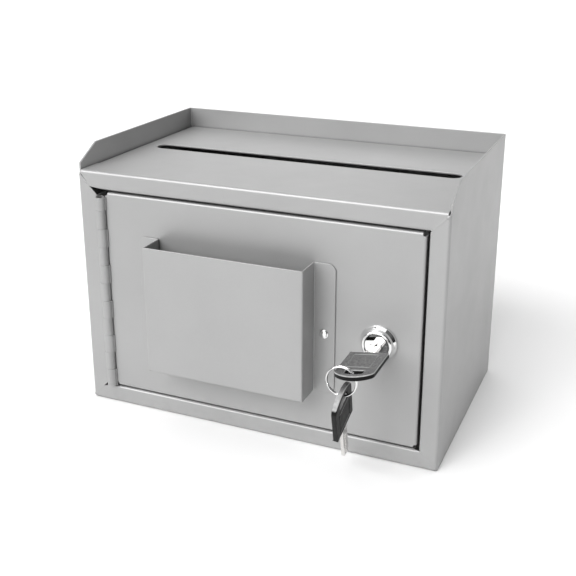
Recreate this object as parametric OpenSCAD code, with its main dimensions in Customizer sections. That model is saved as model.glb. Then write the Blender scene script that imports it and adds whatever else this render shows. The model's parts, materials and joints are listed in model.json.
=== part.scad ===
// Small lockable steel drop box for cards, slips and thin booklets.
// X runs across the front, Y from front to back, Z up.
// The origin is the middle of the underside. Lengths are in millimetres.

/* [Box] */
// Overall width of the box
box_w = 248; // [220:1:300]
// Overall depth of the box
box_d = 152; // [130:1:200]
// Height to the top of the raised back and side edges
box_h = 180; // [176:1:220]
// Height of the sunken top panel's upper face
top_z = 165.5; // [160:0.5:172]
// Thickness of the steel sheet
sheet_t = 1.2; // [1:0.1:1.5]
// How far back the raised sides' sloping front ends reach
rim_slope = 20.8; // [10:0.2:40]
// Height of the raised sides at the very front
rim_front_z = 168.5; // [166:0.5:174]

/* [Front frame] */
// Width of the frame's left flange, which holds the hinge
frame_left = 13.7; // [12:0.1:18]
// Width of the frame's right flange
frame_right = 11.8; // [10:0.1:16]
// Height of the frame's top flange
frame_top = 12; // [8:0.1:14]
// Height of the frame's bottom flange
frame_bottom = 12; // [8:0.1:16]
// Depth of the stiffening lips behind the frame
lip_depth = 15; // [12:0.5:15]

/* [Slot] */
// Length of the slot in the top panel
slot_len = 222; // [150:1:228]
// Width of the slot
slot_w = 12.7; // [6:0.1:14]
// How far the slot's centre line lies behind the box's middle
slot_back = 4.6; // [-10:0.1:20]

/* [Door] */
// Gap between the door's free edge and the frame
door_gap = 1.6; // [1.2:0.1:2.5]
// Gap under the door
door_gap_low = 1.2; // [1:0.1:2]
// Gap above the door
door_gap_top = 1.5; // [1:0.1:3]
// Depth of the door's folded edges
door_fold = 13; // [10:0.5:13]

/* [Hinge] */
// Outside diameter of the hinge barrel
barrel_d = 4.8; // [4:0.1:4.8]
// Diameter of the hinge pin
hinge_pin_d = 2.6; // [2:0.1:3]
// Length of one hinge knuckle
knuckle = 12.7; // [12.5:0.1:12.8]
// How far the hinge's centre line stands in front of the box's face
hinge_proud = 0.5; // [0.5:0.1:1]

/* [Leaflet pocket] */
// Outside width of the pocket
pocket_w = 108.6; // [80:0.2:112]
// Outside depth of the pocket, from the door's face
pocket_depth = 19.5; // [12:0.5:22]
// Height of the pocket's floor above the underside of the box
pocket_z = 40; // [30:0.5:60]
// Height of the pocket
pocket_h = 85.5; // [60:0.5:100]
// How far left of the box's middle the pocket's centre lies
pocket_left = 11.3; // [8:0.1:14]
// Width of the side flanges that the rivets hold
pocket_flange = 13.8; // [12:0.2:14]

/* [Lock and keys] */
// Distance of the lock's centre to the right of the box's middle
lock_x = 84.5; // [82:0.5:85]
// Height of the lock's centre above the underside
lock_z = 79.5; // [70:0.5:90]
// Diameter of the lock's chromed collar
collar_d = 23.5; // [22:0.5:26]
// Length of the cam from the lock's centre to its tip
cam_reach = 36; // [33:0.5:37]
// How far the key stands turned from its open position
key_roll = 9; // [0:1:12]
// How far the spare key hangs tilted in its own plane
spare_tilt = 27; // [0:1:28]
// How far the spare key leans sideways
spare_lean = 7; // [0:1:8]

/* [Hidden] */
$fn = 48;

front_y = -box_d / 2;
back_y = box_d / 2;
side_x = box_w / 2;
wall_in_x = side_x - sheet_t;
wall_in_y = back_y - sheet_t;
cut = 1;
overlap = 0.5;

// The front opening
open_x0 = -side_x + frame_left;
open_x1 = side_x - frame_right;
open_z0 = frame_bottom;
open_z1 = top_z - frame_top;

// The frame's mitred corners, in the order left low, left high, right low, right high.
// drop: how far from the opening's corner the mitre meets the side flange
// reach: how far out along the mitre the open notch goes
// run: how far along the top or bottom flange the notch goes
mitre_drop = [0.6, 4, 0.4, 0.8];
notch_reach = [1.8, 5.5, 0.6, 1];
notch_run = [1.4, 7, 1.8, 4];
lip_end_gap = 3;

// Wall fixing holes in the back
fix_r = 2.5;
fix_span_x = 180;
fix_span_z = 100;
fix_z = 92;

// Weld flanges that hold the top and bottom panels in the wrap
weld_flange = 12;
weld_flange_start = 20;
top_side_gap = 0.5;

// Hinge
barrel_r = barrel_d / 2;
barrel_gap = 0.4;
leaf_t = 0.9;
leaf_depth = 13;
hinge_x = open_x0 + barrel_gap + barrel_r;
hinge_y = front_y - hinge_proud;
hinge_z0 = open_z0 + 1;
hinge_top_gap = 0.5;
hinge_top = open_z1 - mitre_drop[1] - hinge_top_gap;
knuckle_gap = 0.4;
knuckle_count = ceil((hinge_top - hinge_z0) / knuckle);
leaf_relief = barrel_r + overlap;
pin_play = 0.05;
pin_short = 0.3;

// Door
door_x0 = hinge_x + barrel_r + barrel_gap;
door_x1 = open_x1 - door_gap;
door_z0 = open_z0 + door_gap_low;
door_z1 = open_z1 - door_gap_top;
door_in_y = front_y + sheet_t;
corner_relief = 2;
door_corner_cut = 1.6;

// Leaflet pocket and its rivets
pocket_t = 1;
pocket_x = -pocket_left;
flange_corner = 5;
rivet_out = 6.5;
rivet_x = pocket_w / 2 + rivet_out;
rivet_z = lock_z;
rivet_r = 1.6;
rivet_play = 0.05;
rivet_head_r = 3.2;
rivet_head_h = 1.7;
rivet_tail_r = 2.4;
rivet_tail_h = 1.6;

// Lock, measured along Y from the front of the box; outwards is negative
thread_r = 9.5;
flat_half = 8;
body_play = 0.1;
collar_r = collar_d / 2;
collar_edge = 1.4;
collar_step = 1.2;
collar_drop = 0.9;
face_r = 8.6;
face_round = 1;
face_out = 5.5;
body_back = 14.1;
plug_r = 6;
plug_play = 0.06;
plug_head_r = 7.2;
plug_head_out = 5.2;
plug_head_t = 2;
plug_head_back = plug_head_t - plug_head_out;
plug_head_clear = 0.1;
plug_end_gap = 0.2;
nut_across = 24;
nut_t = 4;
nut_washer_t = 1;
nut_washer_over = 1;
stop_t = 1;
stop_r = 8.6;
stop_lug_in = 6.9;
stop_lug_half = 8;
stop_lug_angle = 150;
stop_turn = 90;
stop_margin = 3;
stop_notch_play = 0.5;
lug_gap = 0.4;
cam_t = 2;
cam_w = 14;
cam_tip_w = 11;
drive_half = 3.5;
cam_washer_t = 0.8;
cam_washer_over = 1.5;
cam_screw_r = 2;
cam_screw_play = 0.2;
cam_screw_start = 1.2;
cam_head_r = 4;
cam_head_t = 2.4;
recess_half = 2.2;
recess_w = 1;
recess_deep = 1.2;
stop_gap = 0.4;
stop_y = body_back + stop_gap;
cam_y = stop_y + stop_t;
cam_washer_y = cam_y + cam_t;
drive_short = 0.2;
drive_end = cam_washer_y - drive_short;

// Key blade and keyway
blade_w = 6.6;
blade_t = 2;
blade_len = 30;
tang_len = 13;
tang_w = 5;
cut_first = 14.5;
cut_side = 2;
cut_depths = [0.9, 0.5, 1.1, 0.6, 0.9];
tip_side = 4.4;
tip_in = 0.8;
blade_groove = [-1, 0.4];
blade_groove_deep = 0.5;
blade_groove_end = 8;
key_out = 17;
keyway_play = 0.25;
keyway_past_tip = 0.5;
keyway_half_w = blade_w / 2 + keyway_play;
keyway_half_t = blade_t / 2 + keyway_play;

// Wafers: thin plates across the plug, pushed level by the key
wafer_count = 5;
wafer_pitch = 2.7;
wafer_first = -1.8;
groove_start = -2.8;
groove_end = 12.7;
wafer_t = 1.2;
wafer_half = 3;
wafer_r = 5.9;
wafer_play = 0.15;
window_left = 5;
window_right = 4;
window_half = 1.4;
groove_r = 7.3;
open_groove_over = 0.9;
open_groove_half = wafer_half + open_groove_over;
lock_groove_over = 0.4;
lock_groove_half = wafer_half + lock_groove_over;
spring_r = 0.75;
spring_wire = 0.15;
spring_turns = 4;
spring_pitch = 0.7;
spring_z = 4.6;
spring_pocket_r = 1.05;
spring_pocket_half = 1.5;

// Key bow: straight sides, a curved end and a D-shaped hole
bow_w = 24.2;
bow_len = 34;
bow_side = 28.2;
bow_t = 3.2;
bow_arc = ((bow_w / 2) * (bow_w / 2) + (bow_len - bow_side) * (bow_len - bow_side))
  / (2 * (bow_len - bow_side));
bow_hole_edge = 25.3;
bow_hole_half = 5.8;
bow_strip = 3.6;
bow_panel_deep = 0.4;
bow_margin = 4;

// Split ring through both bows
ring_r = 8.9;
ring_wire_r = 0.55;
ring_turn_shift = 0.5;
ring_s = 27.8;
strip_x = -(bow_w / 2 + bow_hole_half) / 2;
ring_drop = 4.3;
ring_side = 1.6;
spare_side = 0.8;
spare_hole_x = 2;
spare_hole_s = 28;
ring_x = lock_x + strip_x * cos(key_roll) + ring_side;
ring_y = front_y - key_out - ring_s;
ring_z = lock_z + strip_x * sin(key_roll) - ring_drop;

// --- helpers ---

// A box given by its low and high corners
module slab(low, high) {
  translate(low) cube(high - low);
}

// An outline in X and Z, made into a sheet whose front face is at y
module front_sheet(points, y, t) {
  translate([0, y + t, 0]) rotate([90, 0, 0]) linear_extrude(t) polygon(points);
}

// An outline in Y and Z, made into a sheet whose left face is at x
module side_sheet(points, x, t) {
  translate([x, 0, 0]) rotate([90, 0, 90]) linear_extrude(t) polygon(points);
}

// A round bar along Y between two depths behind the front face
module rod_y(r, y0, y1) {
  translate([0, front_y + y1, 0]) rotate([90, 0, 0]) cylinder(r = r, h = y1 - y0);
}

// A solid turned about the lock's axis; the profile is radius and depth
module turned_y(profile) {
  translate([0, front_y, 0]) rotate([-90, 0, 0]) rotate_extrude($fn = 72) polygon(profile);
}

module at_lock() {
  translate([lock_x, 0, lock_z]) children();
}

// The frame of the turning parts: rolled with the key
module at_plug() {
  translate([lock_x, 0, lock_z]) rotate([0, -key_roll, 0]) children();
}

// --- case ---

// The opening's corner i, in the order of the mitre lists
function corner_x(i) = i < 2 ? open_x0 : open_x1;
function corner_z(i) = i % 2 == 0 ? open_z0 : open_z1;
// Direction out of the opening at corner i
function out_x(i) = i < 2 ? -1 : 1;
function out_z(i) = i % 2 == 0 ? -1 : 1;
// Where mitre i leaves the side flange's inner edge
function mitre_in(i) = [corner_x(i), corner_z(i) - out_z(i) * mitre_drop[i]];
// Where mitre i meets the side wall
function mitre_out(i) =
  let (z = mitre_in(i)[1] + out_z(i) * (wall_in_x - abs(corner_x(i))))
  [out_x(i) * wall_in_x, min(max(z, 0), top_z)];
// Where the notch at corner i ends on the mitre
function notch_tip(i) =
  mitre_in(i) + (mitre_out(i) - mitre_in(i)) * notch_reach[i] / (wall_in_x - abs(corner_x(i)));
// Where the notch at corner i ends on the top or bottom flange
function notch_end(i) = [corner_x(i) - out_x(i) * notch_run[i], corner_z(i)];

// Left wall, back and right wall in one bent sheet, with the front flanges and their lips
module side_wrap() {
  wall = [
    [front_y, 0], [back_y, 0], [back_y, box_h],
    [front_y + rim_slope, box_h], [front_y, rim_front_z]
  ];
  color("silver")
    difference() {
      union() {
        side_sheet(wall, -side_x, sheet_t);
        side_sheet(wall, wall_in_x, sheet_t);
        slab([-side_x, wall_in_y, 0], [side_x, back_y, box_h]);
        for (i = [0, 2])
          front_sheet([
            [out_x(i) * side_x, 0], mitre_out(i), mitre_in(i),
            mitre_in(i + 1), mitre_out(i + 1), [out_x(i) * side_x, top_z]
          ], front_y, sheet_t);
        slab([open_x0 - sheet_t, front_y, mitre_in(0)[1]],
             [open_x0, front_y + lip_depth, mitre_in(1)[1] - sheet_t]);
        slab([open_x1, front_y, mitre_in(2)[1]],
             [open_x1 + sheet_t, front_y + lip_depth, mitre_in(3)[1] - sheet_t]);
      }
      for (x = [-fix_span_x / 2, fix_span_x / 2], z = [fix_z - fix_span_z / 2, fix_z + fix_span_z / 2])
        translate([x, back_y + cut, z]) rotate([90, 0, 0]) cylinder(r = fix_r, h = sheet_t + 2 * cut);
    }
}

// Floor with upturned weld flanges, the frame's bottom flange and its lip
module bottom_panel() {
  color("silver") {
    slab([-wall_in_x, front_y, 0], [wall_in_x, wall_in_y, sheet_t]);
    front_sheet([
      [-wall_in_x, 0], [wall_in_x, 0], mitre_out(2), notch_tip(2), notch_end(2),
      notch_end(0), notch_tip(0), mitre_out(0)
    ], front_y, sheet_t);
    slab([open_x0 + lip_end_gap, front_y, open_z0 - sheet_t],
         [open_x1 - lip_end_gap, front_y + lip_depth, open_z0]);
    for (x = [-wall_in_x, wall_in_x - sheet_t])
      slab([x, front_y + weld_flange_start, 0], [x + sheet_t, wall_in_y, weld_flange]);
    slab([-wall_in_x, wall_in_y - sheet_t, 0], [wall_in_x, wall_in_y, weld_flange]);
  }
}

// Sunken top with the slot, the frame's top flange and lip, and downturned weld flanges
module top_panel() {
  edge_x = wall_in_x - top_side_gap;
  low_z = top_z - weld_flange;
  color("silver")
    difference() {
      union() {
        slab([-edge_x, front_y, top_z - sheet_t], [edge_x, wall_in_y, top_z]);
        front_sheet([
          [-wall_in_x, top_z], mitre_out(1), notch_tip(1), notch_end(1),
          notch_end(3), notch_tip(3), mitre_out(3), [wall_in_x, top_z]
        ], front_y, sheet_t);
        slab([notch_end(1)[0], front_y, open_z1],
             [notch_end(3)[0], front_y + lip_depth, open_z1 + sheet_t]);
        for (x = [-edge_x, edge_x - sheet_t])
          slab([x, front_y + weld_flange_start, low_z], [x + sheet_t, wall_in_y, top_z]);
        slab([-edge_x, wall_in_y - sheet_t, low_z], [edge_x, wall_in_y, top_z]);
      }
      translate([0, slot_back, top_z - sheet_t - cut]) {
        for (x = [-1, 1])
          translate([x * (slot_len - slot_w) / 2, 0, 0]) cylinder(d = slot_w, h = sheet_t + 2 * cut);
        translate([-(slot_len - slot_w) / 2, -slot_w / 2, 0])
          cube([slot_len - slot_w, slot_w, sheet_t + 2 * cut]);
      }
    }
}

// --- hinge ---

// Low end of knuckle k
function knuckle_low(k) = hinge_z0 + k * knuckle;
// High end of knuckle k
function knuckle_high(k) = min(hinge_z0 + (k + 1) * knuckle, hinge_top);

// One leaf: a flat strip, rolled into knuckles for every second place from first
module hinge_leaf(leaf_x, first) {
  pin_r = hinge_pin_d / 2;
  difference() {
    union() {
      difference() {
        slab([leaf_x, hinge_y, hinge_z0 + knuckle_gap / 2],
             [leaf_x + leaf_t, front_y + leaf_depth, hinge_top - knuckle_gap / 2]);
        for (k = [1 - first : 2 : knuckle_count - 1])
          slab([leaf_x - cut, hinge_y - cut, knuckle_low(k) - knuckle_gap / 2],
               [leaf_x + leaf_t + cut, hinge_y + leaf_relief, knuckle_high(k) + knuckle_gap / 2]);
      }
      for (k = [first : 2 : knuckle_count - 1])
        translate([hinge_x, hinge_y, knuckle_low(k) + knuckle_gap / 2])
          cylinder(r = barrel_r, h = knuckle_high(k) - knuckle_low(k) - knuckle_gap);
    }
    translate([hinge_x, hinge_y, hinge_z0 - cut])
      cylinder(r = pin_r + pin_play, h = hinge_top - hinge_z0 + 2 * cut);
  }
}

module hinge_frame_leaf() {
  color("silver") hinge_leaf(open_x0, 1);
}

module hinge_door_leaf() {
  color("silver") hinge_leaf(door_x0 - leaf_t, 0);
}

module hinge_pin() {
  color("gray")
    translate([hinge_x, hinge_y, hinge_z0 + pin_short])
      cylinder(d = hinge_pin_d, h = hinge_top - hinge_z0 - 2 * pin_short);
}

// --- door ---

// Shape of the lock's threaded body and of the hole it passes: round with two flats
module double_d(r, half, y0, y1) {
  intersection() {
    rod_y(r, y0, y1);
    slab([-r, front_y + y0 - cut, -half], [r, front_y + y1 + cut, half]);
  }
}

// A rectangle's outline with its corners cut at 45 degrees
function cut_rectangle(x0, x1, z0, z1, c) = [
  [x0 + c, z0], [x1 - c, z0], [x1, z0 + c], [x1, z1 - c],
  [x1 - c, z1], [x0 + c, z1], [x0, z1 - c], [x0, z0 + c]
];

// Flush pan door: face sheet and four folded edges, open at the corners
module door_panel() {
  fold_y = front_y + door_fold;
  color("silver")
    difference() {
      union() {
        front_sheet(cut_rectangle(door_x0, door_x1, door_z0, door_z1, door_corner_cut), front_y, sheet_t);
        slab([door_x0, front_y, door_z0 + corner_relief],
             [door_x0 + sheet_t, fold_y, door_z1 - corner_relief]);
        slab([door_x1 - sheet_t, front_y, door_z0 + corner_relief],
             [door_x1, fold_y, door_z1 - corner_relief]);
        slab([door_x0 + corner_relief, front_y, door_z0],
             [door_x1 - corner_relief, fold_y, door_z0 + sheet_t]);
        slab([door_x0 + corner_relief, front_y, door_z1 - sheet_t],
             [door_x1 - corner_relief, fold_y, door_z1]);
      }
      at_lock() double_d(thread_r + body_play, flat_half + body_play, -cut, sheet_t + cut);
      for (s = [-1, 1])
        translate([pocket_x + s * rivet_x, 0, rivet_z])
          rod_y(rivet_r + rivet_play, -cut, sheet_t + cut);
    }
}

// Open-topped tray with a flange down each side
module leaflet_pocket() {
  half = pocket_w / 2;
  flange_x = half + pocket_flange;
  tray_y = front_y - pocket_depth;
  high = pocket_z + pocket_h;
  color("silver")
    translate([pocket_x, 0, 0])
      difference() {
        union() {
          slab([-half, tray_y, pocket_z], [half, tray_y + pocket_t, high]);
          slab([-half, tray_y, pocket_z], [half, front_y, pocket_z + pocket_t]);
          for (s = [-1, 1]) {
            low_x = s < 0 ? -half : half - pocket_t;
            slab([low_x, tray_y, pocket_z], [low_x + pocket_t, front_y, high]);
            difference() {
              slab([s < 0 ? -flange_x : half - pocket_t, front_y - pocket_t, pocket_z],
                   [s < 0 ? pocket_t - half : flange_x, front_y, high]);
              for (z = [pocket_z + flange_corner, high - flange_corner])
                flange_round(s, flange_x - flange_corner, z, z > rivet_z ? 1 : -1);
            }
          }
        }
        for (s = [-1, 1])
          translate([s * rivet_x, 0, rivet_z]) rod_y(rivet_r + rivet_play, -pocket_t - cut, cut);
      }
}

// What rounding a flange's corner takes away
module flange_round(side, x, z, up) {
  reach = flange_corner + cut;
  difference() {
    slab([side < 0 ? -x - reach : x, front_y - pocket_t - cut, up > 0 ? z : z - reach],
         [side < 0 ? -x : x + reach, front_y + cut, up > 0 ? z + reach : z]);
    translate([side * x, 0, z]) rod_y(flange_corner, -pocket_t - 2 * cut, 2 * cut);
  }
}

// Two dome-headed rivets through the pocket's flanges and the door
module pocket_rivets() {
  dome_r = (rivet_head_r * rivet_head_r + rivet_head_h * rivet_head_h) / (2 * rivet_head_h);
  color("gainsboro")
    for (s = [-1, 1])
      translate([pocket_x + s * rivet_x, 0, rivet_z]) {
        rod_y(rivet_r, -pocket_t - overlap, sheet_t + overlap);
        rod_y(rivet_tail_r, sheet_t, sheet_t + rivet_tail_h);
        intersection() {
          translate([0, front_y - pocket_t - rivet_head_h + dome_r, 0]) sphere(r = dome_r);
          rod_y(rivet_head_r, -pocket_t - rivet_head_h - cut, -pocket_t);
        }
      }
}

// --- lock ---

// Chromed collar and threaded body, bored for the plug
module lock_body() {
  bore = plug_r + plug_play;
  color("gainsboro")
    difference() {
      union() {
        at_lock() turned_y([
          [0, 0], [collar_r, 0], [collar_r, -collar_edge],
          [collar_r - collar_step, -collar_edge - collar_drop],
          [face_r + face_round, -face_out + face_round], [face_r, -face_out], [0, -face_out]
        ]);
        at_lock() double_d(thread_r, flat_half, -overlap, body_back);
        at_lock() stop_sector(stop_lug_angle - stop_lug_half, stop_lug_angle + stop_lug_half,
                              stop_lug_in, stop_r, body_back - overlap, stop_y + stop_t - lug_gap);
      }
      at_lock() rod_y(bore, -face_out - cut, stop_y + stop_t + cut);
      at_lock() rod_y(plug_head_r + plug_play, -face_out - cut, plug_head_back + plug_head_clear);
      for (groove = [[-key_roll / 2, open_groove_half], [stop_turn - key_roll, lock_groove_half]])
        at_plug() rotate([0, -groove[0], 0])
          slab([-groove_r, front_y + groove_start, -groove[1]],
               [groove_r, front_y + groove_end, groove[1]]);
    }
}

// Part of a flat ring between two angles, counted anticlockwise as seen from the front
module stop_sector(a0, a1, r0, r1, y0, y1) {
  steps = 8;
  reach = 2 * r1;
  outline = concat([[0, 0]], [
    for (i = [0 : steps]) let (a = a0 + (a1 - a0) * i / steps) [reach * cos(a), reach * sin(a)]
  ]);
  intersection() {
    front_sheet(outline, front_y + y0 - cut, y1 - y0 + 2 * cut);
    difference() {
      rod_y(r1, y0, y1);
      rod_y(r0, y0 - cut, y1 + cut);
    }
  }
}

module lock_washer() {
  color("lightgray") at_lock() difference() {
    rod_y(nut_across / 2 + nut_washer_over, sheet_t, sheet_t + nut_washer_t);
    rod_y(thread_r, sheet_t - cut, sheet_t + nut_washer_t + cut);
  }
}

module lock_nut() {
  y0 = sheet_t + nut_washer_t;
  color("lightgray") at_lock() difference() {
    translate([0, front_y + y0 + nut_t, 0]) rotate([90, 0, 0])
      cylinder(d = nut_across / cos(30), h = nut_t, $fn = 6);
    rod_y(thread_r, y0 - cut, y0 + nut_t + cut);
  }
}

// Turning barrel with the keyway, the wafers' slots and the square end for the cam
module lock_plug() {
  color("gainsboro")
    at_plug() difference() {
      union() {
        rod_y(plug_head_r, -plug_head_out, plug_head_back);
        rod_y(plug_r, -plug_head_out, stop_y - plug_end_gap);
        slab([-drive_half, front_y + stop_y - overlap, -drive_half],
             [drive_half, front_y + drive_end, drive_half]);
      }
      slab([-keyway_half_w, front_y - plug_head_out - cut, -keyway_half_t],
           [keyway_half_w, front_y + blade_len - key_out + keyway_past_tip, keyway_half_t]);
      for (i = [0 : wafer_count - 1])
        slab([-plug_r - cut, front_y + wafer_low(i) - wafer_play, -wafer_half - wafer_play],
             [plug_r + cut, front_y + wafer_low(i) + wafer_t + wafer_play, wafer_half + wafer_play]);
      for (i = [0 : wafer_count - 1])
        translate([-spring_pocket_half, wafer_mid_y(i), spring_z])
          rotate([0, 90, 0]) cylinder(r = spring_pocket_r, h = 2 * spring_pocket_half);
      rod_y(cam_screw_r, blade_len - key_out + cam_screw_start, drive_end + cut);
    }
}

// Depth of wafer i's front face
function wafer_low(i) = wafer_first + i * wafer_pitch;
// Where the middle of wafer i lies along Y
function wafer_mid_y(i) = front_y + wafer_low(i) + wafer_t / 2;

// Five flat plates, each with a window for the key
module lock_wafers() {
  color("khaki")
    at_plug() for (i = [0 : wafer_count - 1])
      difference() {
        intersection() {
          rod_y(wafer_r, wafer_low(i), wafer_low(i) + wafer_t);
          slab([-plug_r, front_y + wafer_low(i) - cut, -wafer_half],
               [plug_r, front_y + wafer_low(i) + wafer_t + cut, wafer_half]);
        }
        slab([-window_left, front_y + wafer_low(i) - cut, -window_half],
             [window_right, front_y + wafer_low(i) + wafer_t + cut, window_half]);
      }
}

// One small coil spring for each wafer, drawn as a stack of turns
module wafer_springs() {
  color("lightgray")
    at_plug() for (i = [0 : wafer_count - 1], k = [0 : spring_turns - 1])
      translate([(k - (spring_turns - 1) / 2) * spring_pitch, wafer_mid_y(i), spring_z])
        rotate([0, 90, 0]) rotate_extrude($fn = 24) translate([spring_r - spring_wire, 0])
          circle(r = spring_wire, $fn = 16);
}

// Notched disc on the square end; its notch meets the body's lug at both ends of the turn
module stop_washer() {
  lug_at_rest = stop_lug_angle - key_roll;
  color("lightgray")
    at_plug() difference() {
      rod_y(stop_r, stop_y, stop_y + stop_t);
      slab([-drive_half, front_y + stop_y - cut, -drive_half],
           [drive_half, front_y + stop_y + stop_t + cut, drive_half]);
      stop_sector(lug_at_rest - stop_turn + key_roll - stop_lug_half - stop_margin,
                  lug_at_rest + key_roll + stop_lug_half + stop_margin,
                  stop_lug_in - stop_notch_play, stop_r + cut, stop_y - cut, stop_y + stop_t + cut);
    }
}

// Flat cam that points down when open and goes behind the frame's right lip when locked
module lock_cam() {
  y0 = cam_y;
  tip = cam_reach - cam_tip_w / 2;
  color("lightgray")
    at_plug() difference() {
      union() {
        rod_y(cam_w / 2, y0, y0 + cam_t);
        front_sheet([
          [-cam_w / 2, 0], [cam_w / 2, 0], [cam_tip_w / 2, -tip], [-cam_tip_w / 2, -tip]
        ], front_y + y0, cam_t);
        translate([0, 0, -tip]) rod_y(cam_tip_w / 2, y0, y0 + cam_t);
      }
      slab([-drive_half, front_y + y0 - cut, -drive_half],
           [drive_half, front_y + y0 + cam_t + cut, drive_half]);
    }
}

module cam_washer() {
  color("lightgray") at_plug() difference() {
    rod_y(cam_head_r + cam_washer_over, cam_washer_y, cam_washer_y + cam_washer_t);
    rod_y(cam_screw_r + cam_screw_play, cam_washer_y - cut, cam_washer_y + cam_washer_t + cut);
  }
}

// Pan-head screw with a cross recess
module cam_screw() {
  y0 = cam_washer_y + cam_washer_t;
  color("lightgray") at_plug() difference() {
    union() {
      rod_y(cam_screw_r, blade_len - key_out + cam_screw_start + cam_screw_play, y0 + overlap);
      rod_y(cam_head_r, y0, y0 + cam_head_t);
    }
    for (a = [0, 90])
      rotate([0, a, 0])
        slab([-recess_half, front_y + y0 + cam_head_t - recess_deep, -recess_w / 2],
             [recess_half, front_y + y0 + cam_head_t + cut, recess_w / 2]);
  }
}

// --- keys ---
// A key is drawn flat: its blade towards -Y, its bow towards +Y, the bow's blade end at y = 0.

// Notches along one edge of the blade, with different depths
module blade_cuts() {
  for (i = [0 : len(cut_depths) - 1])
    translate([blade_w / 2 + cut_side / sqrt(2) - cut_depths[i], -cut_first - i * wafer_pitch, 0])
      rotate([0, 0, 45]) cube([cut_side, cut_side, blade_t + 2 * cut], center = true);
}

module flat_blade() {
  difference() {
    union() {
      slab([-blade_w / 2, -blade_len, -blade_t / 2], [blade_w / 2, 0, blade_t / 2]);
      slab([-tang_w / 2, -cut, -blade_t / 2], [tang_w / 2, tang_len, blade_t / 2]);
    }
    blade_cuts();
    for (s = [-1, 1])
      translate([s * (blade_w / 2 + tip_in), -blade_len - tip_in, 0]) rotate([0, 0, 45])
        cube([tip_side, tip_side, blade_t + 2 * cut], center = true);
    slab([blade_groove[0], -blade_len - cut, blade_t / 2 - blade_groove_deep],
         [blade_groove[1], -blade_groove_end, blade_t / 2 + cut]);
  }
}

module flat_bow() {
  arc_y = bow_len - bow_arc;
  difference() {
    union() {
      slab([-bow_w / 2, 0, -bow_t / 2], [bow_w / 2, bow_side, bow_t / 2]);
      intersection() {
        translate([0, arc_y, -bow_t / 2]) cylinder(r = bow_arc, h = bow_t, $fn = 96);
        slab([-bow_w / 2, bow_side - cut, -bow_t], [bow_w / 2, bow_len + cut, bow_t]);
      }
    }
    intersection() {
      translate([0, arc_y, -bow_t]) cylinder(r = bow_arc - bow_strip, h = 2 * bow_t, $fn = 96);
      slab([-bow_hole_half, bow_hole_edge, -bow_t], [bow_hole_half, bow_len, bow_t]);
    }
    for (s = [-1, 1])
      translate([0, 0, s * bow_t / 2])
        slab([-bow_w / 2 + bow_margin, bow_margin, -bow_panel_deep],
             [bow_w / 2 - bow_margin, bow_hole_edge - bow_margin, bow_panel_deep]);
    slab([-tang_w / 2, -cut, -blade_t / 2], [tang_w / 2, tang_len, blade_t / 2]);
  }
}

// Puts the flat key into the lock
module key_place() {
  translate([lock_x, front_y - key_out, lock_z]) rotate([0, -key_roll, 0]) rotate([0, 0, 180])
    children();
}

// Hangs the flat key on the ring
module spare_place() {
  translate([ring_x + spare_side, ring_y, ring_z - ring_r])
    rotate([0, spare_lean, 0]) rotate([90 + spare_tilt, 0, 0]) rotate([0, 90, 0])
      translate([-spare_hole_x, -spare_hole_s, 0]) children();
}

module key_blade() {
  color("gainsboro") key_place() flat_blade();
}

module key_bow() {
  color("dimgray") key_place() flat_bow();
}

module spare_key_blade() {
  color("gainsboro") spare_place() flat_blade();
}

module spare_key_bow() {
  color("dimgray") spare_place() flat_bow();
}

// Split ring: two turns of wire side by side
module key_ring() {
  color("gainsboro")
    translate([ring_x, ring_y, ring_z]) rotate([90, 0, 0])
      for (s = [-1, 1])
        translate([0, 0, s * ring_turn_shift]) rotate_extrude($fn = 72)
          translate([ring_r, 0]) circle(r = ring_wire_r, $fn = 24);
}

side_wrap();
bottom_panel();
top_panel();
hinge_frame_leaf();
hinge_pin();
door_panel();
hinge_door_leaf();
leaflet_pocket();
pocket_rivets();
lock_body();
lock_washer();
lock_nut();
lock_plug();
stop_washer();
lock_cam();
cam_washer();
cam_screw();
lock_wafers();
wafer_springs();
key_blade();
key_bow();
key_ring();
spare_key_blade();
spare_key_bow();
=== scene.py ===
"""Looks of a small lockable steel drop box, built round its CAD frame.

Shapes are worked out in millimetres in the frame's own axes (X across the front, Y to the back,
Z up) and turned into metres when a mesh is made. A sheet-metal part is drawn as the outer skin of
its bent sheet; modifiers give it the sheet's thickness and soften its cut edges.
"""

import json
import math

import bmesh
import bpy
from mathutils import Matrix, Vector
from mathutils.geometry import delaunay_2d_cdt


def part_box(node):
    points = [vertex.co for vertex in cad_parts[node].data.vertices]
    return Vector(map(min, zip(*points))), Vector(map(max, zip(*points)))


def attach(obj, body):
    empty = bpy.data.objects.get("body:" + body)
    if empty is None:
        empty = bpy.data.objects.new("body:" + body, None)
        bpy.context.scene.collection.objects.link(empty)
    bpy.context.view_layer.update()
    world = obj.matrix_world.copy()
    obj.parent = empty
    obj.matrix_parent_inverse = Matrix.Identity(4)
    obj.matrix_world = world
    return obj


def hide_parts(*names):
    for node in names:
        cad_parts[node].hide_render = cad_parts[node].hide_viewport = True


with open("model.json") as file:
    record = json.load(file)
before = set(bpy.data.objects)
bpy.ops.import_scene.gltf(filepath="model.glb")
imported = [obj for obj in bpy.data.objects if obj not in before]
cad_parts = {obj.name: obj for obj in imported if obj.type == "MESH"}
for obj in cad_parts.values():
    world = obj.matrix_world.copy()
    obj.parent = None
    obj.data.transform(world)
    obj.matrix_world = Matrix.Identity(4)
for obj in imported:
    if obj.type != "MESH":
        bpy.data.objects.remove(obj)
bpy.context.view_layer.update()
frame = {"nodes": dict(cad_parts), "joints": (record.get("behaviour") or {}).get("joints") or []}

MM = 0.001


def box_mm(node):
    """Lowest and highest corner of a CAD node, in millimetres."""
    low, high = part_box(node)
    return low / MM, high / MM


# --- places and sizes, from the frame ---

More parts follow.
